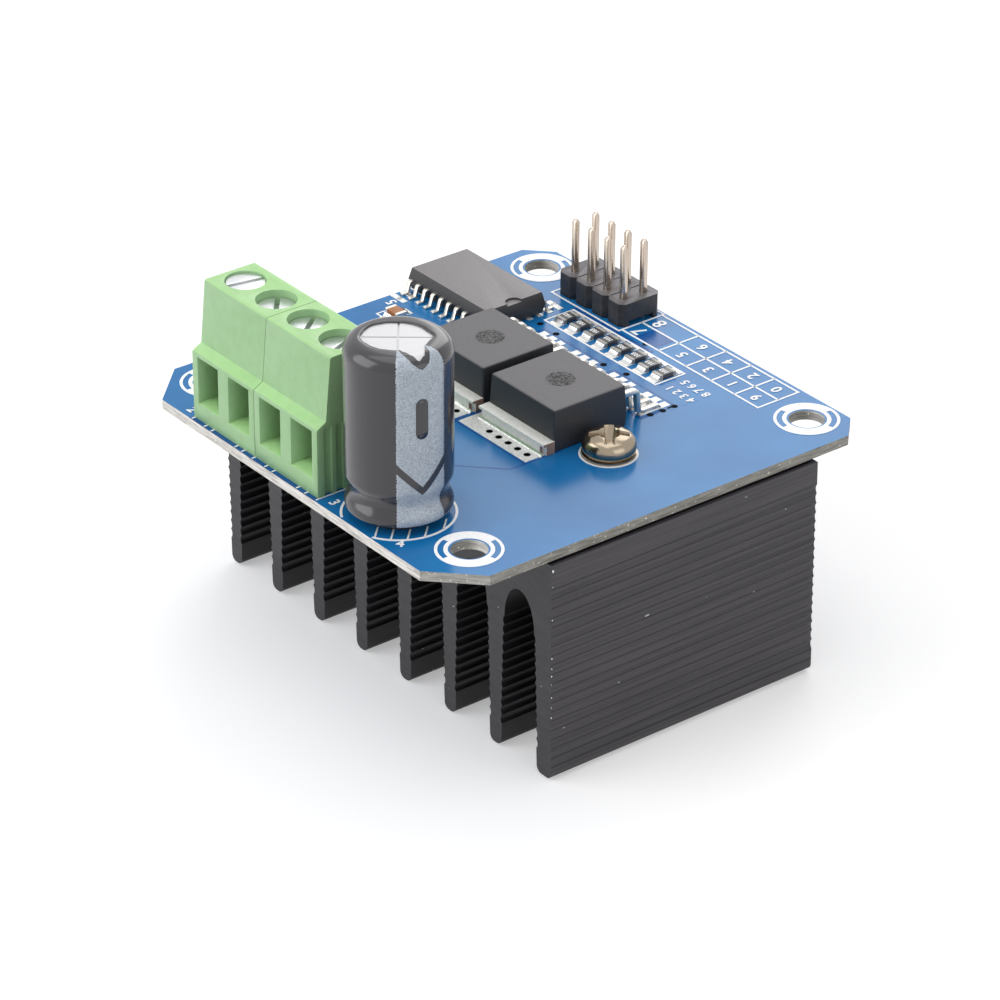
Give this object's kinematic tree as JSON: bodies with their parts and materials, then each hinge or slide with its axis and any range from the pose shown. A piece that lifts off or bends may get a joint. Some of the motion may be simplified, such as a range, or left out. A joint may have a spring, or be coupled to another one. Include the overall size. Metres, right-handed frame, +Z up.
{
  "type": "dc motor driver module",
  "caption": "Motor driver module: blue circuit board on a black finned heatsink, with green screw terminals, a storage capacitor, power chips and a pin header.",
  "frame": {"origin": "middle of the footprint, in the plane the fin tips stand on", "axes": "+Z up from the fins to the components, +X from the screw terminals to the pin header along the fins, +Y across the fins, away from the capacitor"},
  "size_m": [0.05, 0.0522, 0.0423],
  "materials": {
    "blue_solder_mask": "solder mask over woven laminate",
    "black_anodised_extrusion": "black anodised, ribs left by the extrusion die",
    "grey_silicone_pad": "soft and matt",
    "nickel_plated_steel": "bright nickel plate",
    "green_nylon": "moulded, satin",
    "nickel_plated_brass": "stamped and plated",
    "zinc_plated_steel": "bright zinc plate",
    "bare_aluminium": "drawn, satin",
    "black_shrink_sleeve": "shrunk film, glossy",
    "black_rubber": "moulded, matt",
    "tinned_copper": "matt tin plate",
    "black_epoxy": "moulded, fine texture",
    "black_glazed_ceramic": "glazed",
    "tan_ceramic": "fired ceramic",
    "black_plastic": "moulded, satin",
    "tinned_brass": "drawn wire, plated",
    "solder": "bright fillets"
  },
  "bodies": {
    "root": {"circuit_board": "blue_solder_mask", "heatsink": "black_anodised_extrusion", "thermal_pad": "grey_silicone_pad", "heatsink_screws": "nickel_plated_steel", "heatsink_washers": "nickel_plated_steel", "terminal_housing_front": "green_nylon", "terminal_housing_rear": "green_nylon", "clamp_frame_1": "nickel_plated_brass", "clamp_frame_2": "nickel_plated_brass", "clamp_frame_3": "nickel_plated_brass", "clamp_frame_4": "nickel_plated_brass", "capacitor_can": "bare_aluminium", "capacitor_sleeve": "black_shrink_sleeve", "capacitor_seal": "black_rubber", "capacitor_leads": "tinned_copper", "buffer_chip_body": "black_epoxy", "buffer_chip_leads": "tinned_copper", "driver_chip_1_tab": "tinned_copper", "driver_chip_1_body": "black_epoxy", "driver_chip_1_leads": "tinned_copper", "driver_chip_2_tab": "tinned_copper", "driver_chip_2_body": "black_epoxy", "driver_chip_2_leads": "tinned_copper", "resistor_1_body": "black_glazed_ceramic", "resistor_1_ends": "tinned_copper", "resistor_2_body": "black_glazed_ceramic", "resistor_2_ends": "tinned_copper", "resistor_3_body": "black_glazed_ceramic", "resistor_3_ends": "tinned_copper", "resistor_4_body": "black_glazed_ceramic", "resistor_4_ends": "tinned_copper", "resistor_5_body": "black_glazed_ceramic", "resistor_5_ends": "tinned_copper", "resistor_6_body": "black_glazed_ceramic", "resistor_6_ends": "tinned_copper", "resistor_7_body": "black_glazed_ceramic", "resistor_7_ends": "tinned_copper", "resistor_8_body": "black_glazed_ceramic", "resistor_8_ends": "tinned_copper", "bypass_capacitor_body": "tan_ceramic", "bypass_capacitor_ends": "tinned_copper", "header_housing": "black_plastic", "header_pins": "tinned_brass", "solder_joints": "solder"},
    "plate_1": {"pressure_plate_1": "zinc_plated_steel"},
    "screw_1": {"clamp_screw_1": "zinc_plated_steel"},
    "plate_2": {"pressure_plate_2": "zinc_plated_steel"},
    "screw_2": {"clamp_screw_2": "zinc_plated_steel"},
    "plate_3": {"pressure_plate_3": "zinc_plated_steel"},
    "screw_3": {"clamp_screw_3": "zinc_plated_steel"},
    "plate_4": {"pressure_plate_4": "zinc_plated_steel"},
    "screw_4": {"clamp_screw_4": "zinc_plated_steel"}
  },
  "joints": [
    {"name": "plate_slide_1", "type": "slide", "parent": "root", "child": "plate_1", "axis": [0, 0, 1], "range_m": [-0.00214, 0.00056]},
    {"name": "screw_turn_1", "type": "hinge", "parent": "plate_1", "child": "screw_1", "pos_m": [-0.0199, -0.00213, 0.03716], "axis": [0, 0, 1], "range_deg": [-1800, 540]},
    {"name": "plate_slide_2", "type": "slide", "parent": "root", "child": "plate_2", "axis": [0, 0, 1], "range_m": [-0.00214, 0.00056]},
    {"name": "screw_turn_2", "type": "hinge", "parent": "plate_2", "child": "screw_2", "pos_m": [-0.0199, 0.00287, 0.03716], "axis": [0, 0, 1], "range_deg": [-1800, 540]},
    {"name": "plate_slide_3", "type": "slide", "parent": "root", "child": "plate_3", "axis": [0, 0, 1], "range_m": [-0.00214, 0.00056]},
    {"name": "screw_turn_3", "type": "hinge", "parent": "plate_3", "child": "screw_3", "pos_m": [-0.0199, 0.00793, 0.03716], "axis": [0, 0, 1], "range_deg": [-1800, 540]},
    {"name": "plate_slide_4", "type": "slide", "parent": "root", "child": "plate_4", "axis": [0, 0, 1], "range_m": [-0.0027, 0]},
    {"name": "screw_turn_4", "type": "hinge", "parent": "plate_4", "child": "screw_4", "pos_m": [-0.0199, 0.01293, 0.03716], "axis": [0, 0, 1], "range_deg": [-2250, 90]}
  ],
  "couplings": [
    {"joint": "screw_turn_1", "follows": "plate_slide_1", "rad_per_m": 13963},
    {"joint": "screw_turn_2", "follows": "plate_slide_2", "rad_per_m": 13963},
    {"joint": "screw_turn_3", "follows": "plate_slide_3", "rad_per_m": 13963},
    {"joint": "screw_turn_4", "follows": "plate_slide_4", "rad_per_m": 13963}
  ]
}
